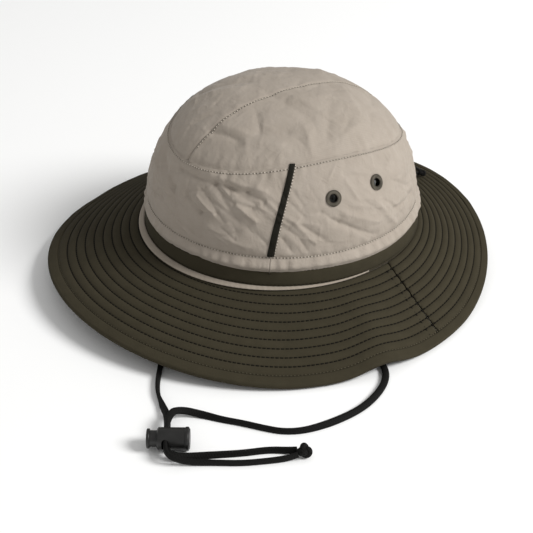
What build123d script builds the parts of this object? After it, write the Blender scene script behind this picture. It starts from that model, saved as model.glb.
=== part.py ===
"""Boonie hat: soft crown, stitched brim, chin cord and rear adjuster, as separate sewn pieces.

Millimetres.  +Z is up, the hat's front is -Y and the wearer's left is +X.  The origin is
the middle of the brim's footprint, on the surface that the brim rests on.
"""
import os
from math import atan2, cos, degrees, exp, pi, radians, sin, tan

from build123d import *

# ---------------------------------------------------------------- driving dimensions
OVAL = 1.03                 # front-to-back stretch of every ring round the head
CROWN_Y = 10.9              # the crown's axis lies this far behind the brim's middle
CROWN_R = 93.2              # crown outside radius across the head
BASE_Z = 34.0               # seam between brim and crown
CROWN_LOW = BASE_Z + 9.4    # the crown wall is upright up to here
CROWN_TOP = BASE_Z + 99.5
CROWN_P = 2.28              # exponents of the crown's domed profile
CROWN_Q = 2.42
TOP_SEAM_Z = BASE_Z + 70.7  # seam between the side band and the top panels
TOP_SEAM_X = 7.0            # front-to-back seam of the two top panels
CLOTH = 0.9                 # thickness of the crown cloth
GAP = 0.3                   # clearance between neighbouring pieces

BRIM_X = 153.3              # brim edge, half width across the head
BRIM_Y = 156.4              # brim edge, half length front to back
BRIM_INNER_R = 94.6
BRIM_INNER_Z = BASE_Z - 2.2
BRIM_REST_Z = 2.55          # middle of the brim's edge where it rests
RISE_FRONT = 12.9           # how far the brim's edge lifts at the front and the back
RISE_BACK = 18.8
FLAT_SHARE = 0.42           # share of the half turn on each side that lies flat
CORD_WAVE = 5.5             # the edge lifts this much where a cord strand passes under it
CORD_WAVE_AT = 86.0
CORD_WAVE_WIDE = 7.0
SIDE_SEAM_AT = 105.0        # brim side seams, degrees from the front
STEP = 7.5                  # degrees between brim sections

BAND_TALL = 14.6            # olive band round the foot of the crown
BAND_THICK = 1.1
PIPING_SHIFT = 3.85         # the piping is a crescent: its outer oval sits this far forward
SWEAT_OUT = 89.2
SWEAT_THICK = 1.3
SWEAT_LOW = BASE_Z - 4.0
SWEAT_HIGH = BASE_Z + 30.0

CORD_D = 3.2                # chin cord, as a round section of the same area
LOCK_Z = 7.05
LOCK_AT = Vector(143, -160.6, LOCK_Z)      # middle of the lock's cord hole
LOCK_TURN = 57.5                           # heading of the lock's barrel, degrees
STRAND_APART = 3.6                         # between the two strands in the lock
LOCK_TRAVEL = 2.8

REAR_SCALE = 0.78           # the rear lock is a smaller size of the chin lock
REAR_D = 2.4
REAR_Z = BASE_Z + 5.0
REAR_LOCK = Vector(0, 119.0, REAR_Z)
REAR_KNOT = Vector(0, 137.5, 30.3)
CHANNEL_R = 91.3

parts = {}


# ---------------------------------------------------------------- rings round the head
def crown_radius(z):
    """Outside radius of the crown at height z, before the oval stretch."""
    share = min(max((z - CROWN_LOW) / (CROWN_TOP - CROWN_LOW), 0.0), 1.0)
    return CROWN_R * (1 - share ** CROWN_P) ** (1 / CROWN_Q)


def crown_normal(z):
    """Outward direction (radial, up) of the crown's profile at height z."""
    slope = (crown_radius(z + 0.05) - crown_radius(z - 0.05)) / 0.1
    return Vector(1, -slope).normalized()


def profile_points(z_low, z_high, depth, count=9):
    """Points of the crown's profile, moved inwards by depth, closer together near the top."""
    points = []
    for i in range(count):
        z = z_low + (z_high - z_low) * sin(pi / 2 * i / (count - 1))
        normal = crown_normal(z)
        radius = crown_radius(z) - normal.X * depth
        points.append((radius, z - normal.Y * depth))
    if z_high >= CROWN_TOP:
        points[-1] = (0.0, CROWN_TOP - depth)
    return points


def closed_face(outer, inner):
    """Face on the XZ plane between two curves that run the same way."""
    edges = [
        Spline(*outer) if len(outer) > 2 else Line(*outer),
        Line(outer[-1], inner[-1]),
        Spline(*inner[::-1]) if len(inner) > 2 else Line(*inner[::-1]),
        Line(inner[0], outer[0]),
    ]
    return Plane.XZ * make_face(edges)


def round_the_head(face, start=0.0, end=360.0):
    """Turn a profile about the crown's axis from one angle to another, then stretch it oval."""
    ring = revolve(face, axis=Axis.Z, revolution_arc=end - start)
    ring = Rotation(0, 0, start - 90) * ring
    return Pos(0, CROWN_Y, 0) * scale(ring, by=(1, OVAL, 1))


def crown_skin(z_low, z_high, depth, thick, start=0.0, end=360.0):
    """A layer of the crown: depth below its outside, between two heights and two angles."""
    outer = profile_points(z_low, z_high, depth)
    inner = profile_points(z_low, z_high, depth + thick)
    return round_the_head(closed_face(outer, inner), start, end)


def straight_ring(r_low, z_low, r_high, z_high, thick, start=0.0, end=360.0):
    """A conical band; the radii are those of its inside."""
    outer = [(r_low + thick, z_low), (r_high + thick, z_high)]
    inner = [(r_low, z_low), (r_high, z_high)]
    return round_the_head(closed_face(outer, inner), start, end)


def on_ring(angle, radius, z):
    """Point on an oval ring, at an angle from the front towards the wearer's left."""
    turn = radians(angle)
    return Vector(radius * sin(turn), CROWN_Y - OVAL * radius * cos(turn), z)


def only(shape):
    """The single solid of a shape."""
    solids = shape.solids()
    assert len(solids) == 1, len(solids)
    return solids[0]


# ---------------------------------------------------------------- crown
def crown_pieces():
    """Two top panels, three side panels, and the tapes that bind their seams inside."""
    dome = crown_skin(TOP_SEAM_Z + GAP / 2, CROWN_TOP, 0, CLOTH)
    seam_plane = Plane.YZ.offset(TOP_SEAM_X + GAP / 2)
    parts["crown_top_left"] = only(split(dome, bisect_by=seam_plane, keep=Keep.TOP))
    seam_plane = Plane.YZ.offset(TOP_SEAM_X - GAP / 2)
    parts["crown_top_right"] = only(split(dome, bisect_by=seam_plane, keep=Keep.BOTTOM))
    low = BASE_Z + 0.5
    high = TOP_SEAM_Z - GAP / 2
    parts["side_band_front"] = crown_skin(low, high, 0, CLOTH, -59.9, 59.9)
    parts["side_band_left"] = crown_skin(low, high, 0, CLOTH, 60.1, 179.9)
    parts["side_band_right"] = crown_skin(low, high, 0, CLOTH, 180.1, 299.9)

    tape_depth = CLOTH + GAP
    parts["crown_ring_tape"] = crown_skin(TOP_SEAM_Z - 5, TOP_SEAM_Z + 5, tape_depth, 0.6)
    strip = crown_skin(TOP_SEAM_Z + 6, CROWN_TOP, tape_depth, 0.6)
    strip = split(strip, bisect_by=Plane.YZ.offset(TOP_SEAM_X - 5), keep=Keep.TOP)
    strip = split(strip, bisect_by=Plane.YZ.offset(TOP_SEAM_X + 5), keep=Keep.BOTTOM)
    parts["crown_top_tape"] = only(strip)
    for name, angle in (("left", 60), ("right", 300), ("rear", 180)):
        tape = crown_skin(SWEAT_HIGH + 2, TOP_SEAM_Z - 6, tape_depth, 0.6, angle - 2.6, angle + 2.6)
        parts[f"side_seam_tape_{name}"] = tape


def trim_tabs():
    """A dark leaning tab over each front side seam, wrapped on the outside of the crown."""
    facing = radians(59)
    skin = crown_skin(BASE_Z + 20, BASE_Z + 82, -GAP - 1.0, 1.0, 40, 80)
    along = Vector(cos(facing), sin(facing), 0)
    out = Vector(sin(facing), -cos(facing), 0)
    face_plane = Plane(origin=Vector(0, CROWN_Y, 0) + out * 40, x_dir=along, z_dir=out)
    half = 2.2
    low = (-9.0, BASE_Z + 23.5)
    high = (3.6, BASE_Z + 76.8)
    corners = [(low[0] - half, low[1]), (low[0] + half, low[1]),
               (high[0] + half, high[1]), (high[0] - half, high[1])]
    cutter = extrude(face_plane * make_face(Polyline(*corners, close=True)), 80)
    left = only(skin & cutter)
    parts["side_trim_left"] = left
    parts["side_trim_right"] = mirror(left, about=Plane.YZ)


def lathe(points):
    """Solid turned about Z from a closed outline of (radius, height) points."""
    return revolve(Plane.XZ * make_face(Polyline(*points, close=True)), axis=Axis.Z)


def vents():
    """Two rolled metal eyelets on each side, with a washer behind the cloth."""
    eyelet = lathe([(2.7, -2.9), (4.3, -2.9), (4.3, -2.4), (3.2, -2.4), (3.2, 0.3), (5.3, 0.3),
                    (5.3, 0.8), (4.7, 1.3), (3.3, 1.3), (2.7, 0.8)])
    washer = lathe([(3.4, -2.1), (5.1, -2.1), (5.1, -1.5), (3.4, -1.5)])
    hole = Pos(0, 0, -4) * Cylinder(3.4, 8)
    eyelets = []
    washers = []
    for angle, above in ((79.8, 56.4), (103.0, 57.5)):
        z = BASE_Z + above
        normal = crown_normal(z)
        centre = on_ring(angle, crown_radius(z), z)
        turn = radians(angle)
        out = Vector(normal.X * sin(turn), -normal.X * cos(turn) / OVAL, normal.Y).normalized()
        seat = Plane(origin=centre, z_dir=out)
        eyelets.append(seat * eyelet)
        washers.append(seat * washer)
        cut = seat * Pos(0, 0, 4) * hole
        parts["side_band_left"] = only(parts["side_band_left"] - cut)
        parts["side_band_right"] = only(parts["side_band_right"] - mirror(cut, about=Plane.YZ))
    for kind, pieces in (("eyelets", eyelets), ("eyelet_washers", washers)):
        parts[f"vent_{kind}_left"] = Compound(pieces)
        parts[f"vent_{kind}_right"] = Compound([mirror(p, about=Plane.YZ) for p in pieces])


# ---------------------------------------------------------------- foot of the crown
def foot_pieces():
    """Olive band, front piping, sweatband, size label and the binding of the brim seam."""
    parts["hat_band"] = straight_ring(93.9, BASE_Z + 0.5, 93.5, BASE_Z + 0.5 + BAND_TALL, BAND_THICK)
    outline = [(95.2, BASE_Z + 0.2), (100.4, BASE_Z - 1.1), (100.4, BASE_Z - 0.3), (95.2, BASE_Z + 1.2)]
    section = Plane.XZ * make_face(Polyline(*outline, close=True))
    oval = Pos(0, CROWN_Y - PIPING_SHIFT, BASE_Z) * scale(Cylinder(95.7, 12), by=(1, OVAL, 1))
    parts["front_piping"] = only(round_the_head(section, -90, 90) & oval)
    sweat_in = SWEAT_OUT - SWEAT_THICK
    parts["sweatband"] = straight_ring(sweat_in, SWEAT_LOW, sweat_in, SWEAT_HIGH, SWEAT_THICK)
    label_r = sweat_in - GAP - 0.4
    parts["size_label"] = straight_ring(label_r, BASE_Z + 6, label_r, BASE_Z + 18, 0.4, 172, 188)
    parts["brim_seam_binding"] = straight_ring(90.3, BASE_Z - 3.5, 90.3, BASE_Z - 0.6, 2.7)


# ---------------------------------------------------------------- brim
def edge_point(angle):
    """Middle of the brim's edge: flat arcs at the sides, lifted front and back."""
    turn = radians(angle)
    end_on = max(abs(cos(turn)) - FLAT_SHARE, 0) / (1 - FLAT_SHARE)
    rise = (RISE_FRONT if cos(turn) > 0 else RISE_BACK) * end_on ** 1.5
    off = (angle + 180) % 360 - 180 - CORD_WAVE_AT
    rise += CORD_WAVE * exp(-((off / CORD_WAVE_WIDE) ** 2))
    return Vector(BRIM_X * sin(turn), -BRIM_Y * cos(turn), BRIM_REST_Z + rise)


def brim_section(angle, outline):
    """Closed wire across the brim; outline gives (distance from the edge, height off the middle)."""
    inner = on_ring(angle, BRIM_INNER_R, BRIM_INNER_Z)
    edge = edge_point(angle)
    along = (edge - inner).normalized()
    side = Vector(0, 0, 1).cross(along).normalized()
    up = along.cross(side)
    points = []
    for back, height in outline:
        start = inner if back is None else edge - along * back
        points.append(start + up * height)
    return Wire.make_polygon(points, close=True)


def brim_ring(outline, start, end):
    """Loft a brim section round from one angle to another."""
    shared = [STEP * i for i in range(-16, 74)]
    shared += [a + turn for a in (78.75, 86.25, 93.75) for turn in (0, 360)]
    angles = [start] + sorted(a for a in shared if start + 2 < a < end - 2) + [end]
    return Solid.make_loft([brim_section(a, outline) for a in angles], ruled=True)


def brim_layer(low, high, start, end):
    """One flat layer of the brim, between two heights off its middle."""
    outline = [(None, low), (0.2, low), (0.2, high), (None, high)]
    return brim_ring(outline, start, end)


def brim_pieces():
    """Top and under cloth in front and rear pieces, the stiffener between, and the edge binding."""
    front = (-SIDE_SEAM_AT + 0.1, SIDE_SEAM_AT - 0.1)
    rear = (SIDE_SEAM_AT + 0.1, 360 - SIDE_SEAM_AT - 0.1)
    for name, (start, end) in (("front", front), ("rear", rear)):
        parts[f"brim_top_{name}"] = brim_layer(0.7, 1.5, start, end)
        parts[f"brim_under_{name}"] = brim_layer(-1.5, -0.7, start, end)
    parts["brim_stiffener"] = brim_layer(-0.45, 0.45, 180.2, 539.8)
    wing, skin_in, skin_out = 5.0, 1.75, 2.3
    outline = [(wing, -skin_out), (-0.9, -skin_out), (-0.9, skin_out), (wing, skin_out),
               (wing, skin_in), (-0.1, skin_in), (-0.1, -skin_in), (wing, -skin_in)]
    parts["brim_edge_binding"] = brim_ring(outline, 180.2, 539.8)


# ---------------------------------------------------------------- cords
def tube(name, points, diameter, sharp=()):
    """Cord along straight runs and tangent arcs; sharp lists the corners that are folds."""
    points = [Vector(*p) for p in points]
    radii = []
    for i in range(1, len(points) - 1):
        before = points[i] - points[i - 1]
        after = points[i + 1] - points[i]
        half_turn = radians(before.get_angle(after)) / 2
        radii.append(0.45 * min(before.length, after.length) / tan(half_turn))
    path = FilletPolyline(*points, radius=radii) if radii else Line(*points)
    section = Plane(origin=path @ 0, z_dir=path % 0) * Circle(diameter / 2)
    solid = sweep(section, path=path)
    parts[name] = only(solid)
    folds = [round(radii[i - 1], 1) for i in sharp]
    loose = [r for i, r in enumerate(radii, 1) if i not in sharp]
    whole = pi * diameter ** 2 / 4 * path.length
    print(f"{name}: length {path.length:.1f}, least radius {min(loose, default=0):.1f},",
          f"folds {folds}, volume / (section x length) {parts[name].volume / whole:.4f}")


def lock_frame(origin, heading):
    """Plane of a cord lock: x along the barrel, y along the cord hole, z up."""
    turn = radians(heading)
    return Plane(origin=origin, x_dir=(cos(turn), sin(turn), 0), z_dir=(0, 0, 1))


def coil(size):
    """Coil spring behind the plunger of a lock of a given size."""
    helix = Helix(pitch=1.35 * size, height=6.2 * size, radius=3.4 * size)
    section = Plane(origin=helix @ 0, z_dir=helix % 0) * Circle(0.32 * size)
    wire = sweep(section, path=helix, is_frenet=True)
    return only(Pos(5.2 * size, 0, 0) * Rotation(0, 90, 0) * wire)


def cord_lock():
    """Barrel and plunger of the chin lock, about the middle of the cord hole."""
    slot = SlotOverall(7.6, 4.2, rotation=90)
    hole = extrude(Plane.XZ * slot, 10, both=True)
    barrel = Pos(4.5, 0, 0) * Rotation(0, 90, 0) * Cylinder(6.6, 19)
    barrel = chamfer(barrel.edges().filter_by(GeomType.CIRCLE), 0.8)
    rim = Pos(12.4, 0, 0) * Rotation(0, 90, 0) * Cylinder(7.0, 2.2)
    rim = fillet(rim.edges().filter_by(GeomType.CIRCLE), 0.6)
    bore = Pos(3.6, 0, 0) * Rotation(0, 90, 0) * Cylinder(5.0, 17.2)
    barrel = only((barrel + rim) - bore - Pos(-5, 0, 0) * Box(0.2, 20, 20) - hole)

    stem = Pos(-2.35, 0, 0) * Rotation(0, 90, 0) * Cylinder(4.8, 13.7)
    head = Pos(-10.1, 0, 0) * Rotation(0, 90, 0) * Cylinder(5.8, 1.8)
    head = fillet(head.edges().filter_by(GeomType.CIRCLE), 0.5)
    window = Pos(-1.3, 0, 0) * Box(6.6, 20, 7.3)
    plunger = only((stem + head) - window)

    return {"body": barrel, "plunger": plunger}


def place_lock(prefix, origin, heading, size):
    """Put a lock of a given size at its cord hole."""
    frame = lock_frame(origin, heading)
    for name, solid in cord_lock().items():
        parts[f"{prefix}_lock_{name}"] = only(frame * scale(solid, by=size))
    parts[f"{prefix}_lock_spring"] = only(frame * coil(size))


def knot(name, centre, size, squeeze=0.8):
    """Closed lump the size of a pulled-tight overhand knot."""
    lump = scale(Sphere(size / 2), by=(1, squeeze, 0.86))
    parts[name] = only(Pos(*centre) * lump)


def chin_cord():
    """Anchor tabs under the sweatband, two strands through the lock, and the knot of their ends."""
    for side, name in ((1, "left"), (-1, "right")):
        tab = Pos(side * 89.5, CROWN_Y, 25.2) * Box(2.6, 11, 8.8)
        parts[f"chin_cord_tab_{name}"] = only(fillet(tab.edges().filter_by(Axis.X), 1.5))

    turn = radians(LOCK_TURN)
    out = Vector(sin(turn), -cos(turn), 0)      # the way the strands leave the lock
    apart = Vector(0, 0, STRAND_APART / 2)
    behind = LOCK_AT - out * 21
    low = -apart
    near = [
        (89.5, CROWN_Y, 20.3), (89.8, 10.2, 13), (94.5, 8, 5.8), (104, 3, 1.9), (121, -3, 1.8),
        (140, -5.5, 1.8), (155.5, -10, 1.8), (167, -22.5, 1.8), (175.5, -42.5, 1.8),
        (177, -64, 1.8), (175, -83, 1.8), (169, -96, 1.8), (159, -105, 1.8), (149.5, -112.5, 1.8),
        (140, -121.5, 1.8), (129.5, -129.5, 1.9), (122.3, -139, 4.6), behind + apart,
        LOCK_AT + out * 12 + apart, (158.4, -165.4, 6.4), (163, -156.8, 2.4),
        (170.3, -144.2, 1.8), (178.7, -131.7, 1.8), (185.0, -118, 1.8), (190.0, -106.5, 2.4),
        (191.4, -101.0, 3.6),
    ]
    far = [
        (-89.5, CROWN_Y, 20.3), (-89.2, 10.2, 13), (-84, 6.5, 5.6), (-74, -0.5, 1.9),
        (-57, -12.5, 1.8), (-34, -32.5, 1.8), (-9, -57, 1.8), (18, -82, 1.8), (47, -107, 1.8),
        (75, -128.5, 1.8), (94, -141, 1.8), (109, -145.5, 2.2), behind + low,
        LOCK_AT + out * 9.4 + low, (155.6, -161.6, 3.8), (158.6, -154.2, 2.0),
        (165.1, -140.0, 1.8), (172.0, -126.4, 1.8), (177.4, -112.0, 1.8), (184.6, -102.6, 2.4),
        (187.8, -99.4, 3.6),
    ]
    tube("chin_cord_left", near, CORD_D, sharp=(18, 19))
    tube("chin_cord_right", far, CORD_D, sharp=(13, 14))
    place_lock("chin", LOCK_AT, LOCK_TURN, 1.0)
    knot("chin_cord_knot", (191.6, -96.2, 4.4), 10)


def rear_adjuster():
    """Drawcord in the rear channel, its eyelet, lock and knot."""
    seat = Plane(origin=Vector(0, CROWN_Y + OVAL * 94.75, REAR_Z), z_dir=(0, 1, 0))
    eyelet = lathe([(4.0, -1.4), (4.5, -1.4), (4.5, 0.3), (5.5, 0.3), (5.5, 0.8), (5.2, 1.1),
                    (4.3, 1.1), (4.0, 0.8)])
    parts["rear_cord_eyelet"] = only(seat * eyelet)
    cut = seat * Cylinder(4.7, 9)
    for name in ("hat_band", "side_band_left", "side_band_right"):
        parts[name] = only(parts[name] - cut)

    half = Vector(0, 0, STRAND_APART / 2 * REAR_SCALE)
    for side, name, lift in ((1, "left", half), (-1, "right", -half)):
        channel = [on_ring(180 - side * a, CHANNEL_R, REAR_Z) + lift for a in (44, 31, 19, 8)]
        channel.insert(0, on_ring(180 - side * 58, CHANNEL_R - 0.5, REAR_Z) + lift)
        corner = Vector(0, CROWN_Y + OVAL * CHANNEL_R, REAR_Z) + lift
        beyond = REAR_LOCK + lift
        tail = [beyond + Vector(0, 9.5 + 0.45 * lift.Z, 0),
                REAR_KNOT + Vector(0, -2.9 + 0.75 * lift.Z, 1.8 + 0.66 * lift.Z)]
        tube(f"rear_cord_{name}", channel + [corner] + tail, REAR_D, sharp=(5, 6))
    place_lock("rear", REAR_LOCK, 180.0, REAR_SCALE)
    knot("rear_cord_knot", REAR_KNOT + Vector(0, 0.8, 0), 6.4)


def build():
    """Make every piece and write it to its own file."""
    crown_pieces()
    trim_tabs()
    vents()
    foot_pieces()
    brim_pieces()
    chin_cord()
    rear_adjuster()
    os.makedirs("parts", exist_ok=True)
    for name, shape in parts.items():
        export_step(shape, f"parts/{name}.step")
    print(len(parts), "nodes")


build()
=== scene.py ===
"""Boonie hat: sewn cloth, stitching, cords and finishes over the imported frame."""
import math

import bmesh
import bpy
import numpy as np
from mathutils import Matrix, Vector


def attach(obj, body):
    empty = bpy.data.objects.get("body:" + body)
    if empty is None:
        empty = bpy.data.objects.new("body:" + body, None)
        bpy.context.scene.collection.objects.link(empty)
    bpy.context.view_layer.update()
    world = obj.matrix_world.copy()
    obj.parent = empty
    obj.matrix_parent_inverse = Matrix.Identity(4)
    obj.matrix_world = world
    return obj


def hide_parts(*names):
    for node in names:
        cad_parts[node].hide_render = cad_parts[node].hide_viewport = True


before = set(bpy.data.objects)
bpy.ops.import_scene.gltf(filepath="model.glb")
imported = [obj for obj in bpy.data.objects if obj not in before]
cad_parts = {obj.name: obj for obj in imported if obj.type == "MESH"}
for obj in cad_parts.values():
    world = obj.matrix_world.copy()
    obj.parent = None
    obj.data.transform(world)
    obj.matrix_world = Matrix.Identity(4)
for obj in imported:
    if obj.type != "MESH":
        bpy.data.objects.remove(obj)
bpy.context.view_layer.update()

bl_info = {
    "name": "Boonie Hat",
    "version": (1, 0, 0),
    "blender": (4, 5, 0),
    "location": "View3D > Sidebar > Hat",
    "description": "Sews a boonie hat with a quilted brim and a chin cord",
    "category": "Add Mesh",
}

MM = 0.001
OVAL = 1.03                  # front-to-back stretch of the rings round the head
CROWN_Y = 10.9               # the crown's axis, mm behind the brim's middle
BASE = 34.0                  # seam between brim and crown, mm above the floor
CROWN_R = 93.2
CROWN_LOW = BASE + 9.4
CROWN_TOP = BASE + 99.5
CROWN_P, CROWN_Q = 2.28, 2.42
TOP_SEAM_X = 7.0
BRIM_X, BRIM_Y = 153.3, 156.4
BRIM_INNER_R, BRIM_INNER_Z = 94.6, BASE - 2.2
SIDE_SEAM_AT = 105.0
HEM_STITCH = 21.0            # height of the hem stitching above the base
VENTS = ((79.8, 56.4), (103.0, 57.5))    # degrees round from the front, mm above the base
VENT_HOLE_R = 3.45
CLOTH_IN = -0.75             # inside of the crown's cloth, mm from its outside
TAPE_FACES = (-1.15, -1.75)  # outside and inside of the seam tapes, from the same place
BRIM_WIDE = 70.5             # distance that the stitch rows are shared out over
EDGE_ROW, ROW_STEP = 6.9, 6.5
BRIM_ENDS = (-0.012, 0.985)  # shares of the brim's width where its cloths begin and end
BAND_R, BAND_LEAN = 95.1, 1.7
BAND_LOW, BAND_TALL = BASE + 0.3, 14.8
BAND_ROWS = (0.1, 0.78)
PIPING_R = 95.3
SWEAT_LOW, SWEAT_HIGH = BASE - 4, BASE + 30
TAU = 2 * np.pi


# ------------------------------------------------------------------ settings
class HatShape(bpy.types.PropertyGroup):
    """Sizes of the cloth and its stitching"""
    stitch_rows: bpy.props.IntProperty(
        name="Brim rows", description="Rows of stitching round the brim", default=10, min=1, max=16)
    stitch_pitch: bpy.props.FloatProperty(
        name="Brim stitch", description="Length of one brim stitch with its needle hole", default=2.9 * MM,
        unit="LENGTH")
    crown_pitch: bpy.props.FloatProperty(
        name="Crown stitch", description="Length of one crown stitch with its needle hole",
        default=2.2 * MM, unit="LENGTH")
    quilt: bpy.props.FloatProperty(
        name="Quilting", description="How far the brim puffs between its rows", default=0.95 * MM,
        unit="LENGTH")
    crumple: bpy.props.FloatProperty(
        name="Crumple", description="Strength of the crown's creases", default=1.0, min=0, max=2)


class HatColours(bpy.types.PropertyGroup):
    """Colours of the cloth and fittings"""
    crown: bpy.props.StringProperty(name="Crown cloth", description="sRGB hex", default="ABA196")
    brim: bpy.props.StringProperty(name="Brim cloth", description="sRGB hex", default="3E392C")
    trim: bpy.props.StringProperty(name="Side trim", description="sRGB hex", default="211F18")
    cord: bpy.props.StringProperty(name="Cord", description="sRGB hex", default="0B0A08")


# ------------------------------------------------------------------ small tools
def linear(hexcode):
    """sRGB hex to linear red, green, blue and alpha."""
    values = [int(hexcode[i:i + 2], 16) / 255 for i in (0, 2, 4)]
    return [v / 12.92 if v <= 0.04045 else ((v + 0.055) / 1.055) ** 2.4 for v in values] + [1.0]


def add_node(tree, kind, links=(), **settings):
    """One node with its settings; a setting that starts with in_ is the value of an input socket."""
    node = tree.nodes.new(kind)
    for key, value in settings.items():
        if key.startswith("in_"):
            name = key[3:].replace("_", " ")
            socket = node.inputs[int(name)] if name.isdigit() else node.inputs[name]
            socket.default_value = value
        else:
            setattr(node, key, value)
    for source, target in links:
        tree.links.new(source, node.inputs[target])
    return node


def face_outwards(mesh, merge=False):
    """Turn every normal of a closed mesh outwards, once its doubled points are merged."""
    work = bmesh.new()
    work.from_mesh(mesh)
    if merge:
        bmesh.ops.remove_doubles(work, verts=work.verts, dist=1e-6)
    bmesh.ops.recalc_face_normals(work, faces=work.faces)
    work.to_mesh(mesh)
    work.free()


def put_mesh(name, points, faces, material, uv=None, attribute=None, replaces=(),
             body="hat"):
    """Make a smooth-shaded piece from points in mm, ride it on its body and hide the CAD nodes that it
    replaces.
    """
    mesh = bpy.data.meshes.new(name)
    mesh.from_pydata(np.asarray(points, float).reshape(-1, 3) * MM, [], np.asarray(faces).tolist())
    if uv is not None:
        layer = mesh.uv_layers.new(name="cloth")
        loops = np.empty(len(mesh.loops), np.int32)
        mesh.loops.foreach_get("vertex_index", loops)
        layer.data.foreach_set("uv", np.asarray(uv, np.float32).reshape(-1, 2)[loops].ravel())
    if attribute is not None:
        data = mesh.attributes.new("along", "FLOAT", "POINT").data
        data.foreach_set("value", np.asarray(attribute, np.float32).ravel())
    mesh.polygons.foreach_set("use_smooth", np.ones(len(mesh.polygons), bool))
    mesh.validate()
    face_outwards(mesh)
    mesh.materials.append(material)
    piece = bpy.data.objects.new(f"{name}_sewn" if replaces else name, mesh)
    bpy.context.scene.collection.objects.link(piece)
    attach(piece, body)
    if replaces:
        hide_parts(*replaces)
    return piece


def grid_faces(rows, columns, wrap_rows=False, wrap_columns=False):
    """Quads of a rows x columns grid of points."""
    i = np.arange(rows if wrap_rows else rows - 1)
    j = np.arange(columns if wrap_columns else columns - 1)
    i, j = np.meshgrid(i, j, indexing="ij")
    a = i * columns + j
    b = ((i + 1) % rows) * columns + j
    c = ((i + 1) % rows) * columns + (j + 1) % columns
    d = i * columns + (j + 1) % columns
    return np.stack([a, b, c, d], -1).reshape(-1, 4)


def loop_solid(points, wrap=False):
    """Faces of sections (n, k, 3) that are closed loops; open ends get caps of quads across the loop."""
    n, k = points.shape[:2]
    faces = grid_faces(n, k, wrap, True)
    if not wrap:
        half = k // 2
        j = np.arange(half - 1)
        start = np.stack([j, j + 1, k - 2 - j, k - 1 - j], -1)
        faces = np.vstack([faces, start, start[:, ::-1] + (n - 1) * k])
    return faces


def arc_uv(points):
    """Lengths along both directions of a grid, in metres, for patterns that follow the cloth."""
    along = np.linalg.norm(np.diff(points, axis=0), axis=-1).mean(1)
    across = np.linalg.norm(np.diff(points, axis=1), axis=-1).mean(0)
    u = np.concatenate([[0], np.cumsum(along)])
    v = np.concatenate([[0], np.cumsum(across)])
    return np.stack(np.meshgrid(u, v, indexing="ij"), -1) * MM


def unit(v):
    """Vectors scaled to length one."""
    return v / np.maximum(np.linalg.norm(v, axis=-1, keepdims=True), 1e-9)


def sew(name, outer, inner, finish, slot, closed=False):
    """A piece of cloth in place of the CAD node of its name: the grid of its outside, the grid of its
    inside laid back under it, and edges that join them."""
    loops = np.concatenate([outer, inner[:, ::-1]], 1)
    return put_mesh(name, loops, loop_solid(loops, closed), CLOTHS[finish], arc_uv(loops),
                    replaces=(name,))


# ------------------------------------------------------------------ cloth of the crown
def crown_radius(z):
    """Domed profile: radius at height z is R * (1 - share**p) ** (1/q)."""
    share = np.clip((z - CROWN_LOW) / (CROWN_TOP - CROWN_LOW), 0, 1)
    return CROWN_R * (1 - share ** CROWN_P) ** (1 / CROWN_Q)


def crown_height(radius):
    """The same profile the other way round: height of the dome at a radius."""
    share = (1 - np.clip(radius / CROWN_R, 0, 1) ** CROWN_Q) ** (1 / CROWN_P)
    return CROWN_LOW + (CROWN_TOP - CROWN_LOW) * share


def seam_height(angle):
    """Height of the seam between side band and top: it dips front and back like a saddle."""
    turn = np.radians(angle)
    return BASE + 70.7 + 3.6 * np.cos(turn) - 6.6 * np.cos(2 * turn)


# Creases: angle and height above the base to angle and height, width and depth, in degrees and mm.
CREASES = (
    (-2, 67, 22, 67, 4.0, 1.5), (22, 67, 50, 62.5, 3.6, 1.7), (3, 62, 26, 62.5, 3.6, -2.3),
    (26, 62.5, 42, 61.5, 3.4, -2.1), (42, 61.5, 50, 57, 3.2, -1.8), (19, 52, 29, 44.5, 2.4, 2.2),
    (13, 50, 22, 43, 3.4, -2.0), (22, 43, 30, 46, 2.4, -1.1), (26, 61, 37, 54, 3.0, -1.5),
    (37, 54, 45, 52.5, 2.4, -1.5), (31, 56, 40, 44, 3.6, -1.6), (36, 55, 47, 45, 3.4, 1.3),
    (-12, 60, 3, 50, 5.0, -1.8), (3, 50, 7, 41, 4.0, -1.6), (-6, 66, -1, 46, 4.0, 1.1),
    (-22, 32, -2, 38, 3.4, -1.5), (-20, 62, -12, 40, 5.0, 1.3), (8, 33, 16, 26, 3.4, 1.1),
    (27, 36, 44, 27, 4.5, 1.4), (44, 41, 52, 30, 4.0, -1.2), (63, 44, 71, 30, 3.0, 1.0),
    (74, 49.5, 81, 41, 2.8, -1.5), (81, 41, 98, 25, 3.2, -1.6), (84, 46, 100, 33, 4.2, 1.1),
    (87, 64, 91, 52, 3.2, 1.0), (99, 48, 113, 22, 3.6, 1.2), (104, 47, 117, 27, 3.2, -1.0),
    (66, 42, 75, 31, 3.0, -1.2), (58, 34, 62, 24, 2.6, -1.4), (65, 33, 68, 24, 2.2, -1.0),
    (113, 64, 126, 50, 4.6, 1.1), (92, 68, 101, 63, 3.2, 0.8), (120, 42, 133, 28, 4.4, -1.2),
)
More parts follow.
